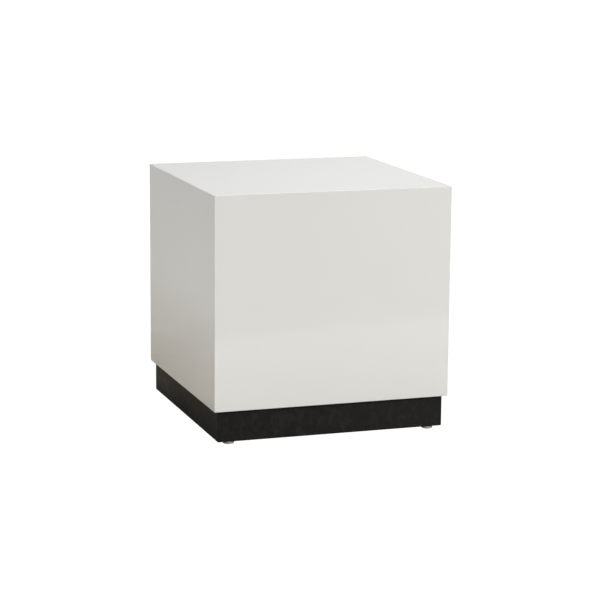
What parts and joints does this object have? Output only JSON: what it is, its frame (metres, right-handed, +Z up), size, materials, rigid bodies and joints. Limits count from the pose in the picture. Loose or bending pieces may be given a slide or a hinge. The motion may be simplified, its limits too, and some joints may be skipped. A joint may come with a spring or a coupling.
{
  "type": "display plinth",
  "caption": "Free-standing display plinth: a white gloss lacquered cube of mitred boards on a black base frame that is set back under it and stands on small plastic glides.",
  "frame": {"origin": "on the floor, under the middle of the plinth", "axes": "+Z up, +Y from the front to the back, +X to the right as seen from the front"},
  "size_m": [0.45, 0.45, 0.455],
  "materials": {
    "white_lacquer": "gloss",
    "primed_board": "matte",
    "black_lacquer": "satin",
    "softwood": "matte",
    "beech": "matte",
    "zinc_plated_steel": "satin",
    "glide_plastic": "satin"
  },
  "bodies": {
    "root": {"back_panel": "white_lacquer", "base_back_rail": "black_lacquer", "base_corner_block_back_left": "softwood", "base_corner_block_back_right": "softwood", "base_corner_block_front_left": "softwood", "base_corner_block_front_right": "softwood", "base_corner_dowels": "beech", "base_front_rail": "black_lacquer", "base_left_rail": "black_lacquer", "base_right_rail": "black_lacquer", "bottom_panel": "primed_board", "bottom_panel_biscuits": "beech", "carcass_screws": "zinc_plated_steel", "corner_batten_back_left": "softwood", "corner_batten_back_right": "softwood", "corner_batten_front_left": "softwood", "corner_batten_front_right": "softwood", "front_panel": "white_lacquer", "glide_back_left": "glide_plastic", "glide_back_right": "glide_plastic", "glide_front_left": "glide_plastic", "glide_front_right": "glide_plastic", "glide_nails": "zinc_plated_steel", "left_panel": "white_lacquer", "rail_screws": "zinc_plated_steel", "right_panel": "white_lacquer", "top_mitre_biscuits": "beech", "top_panel": "white_lacquer", "upright_mitre_biscuits": "beech"}
  },
  "joints": []
}
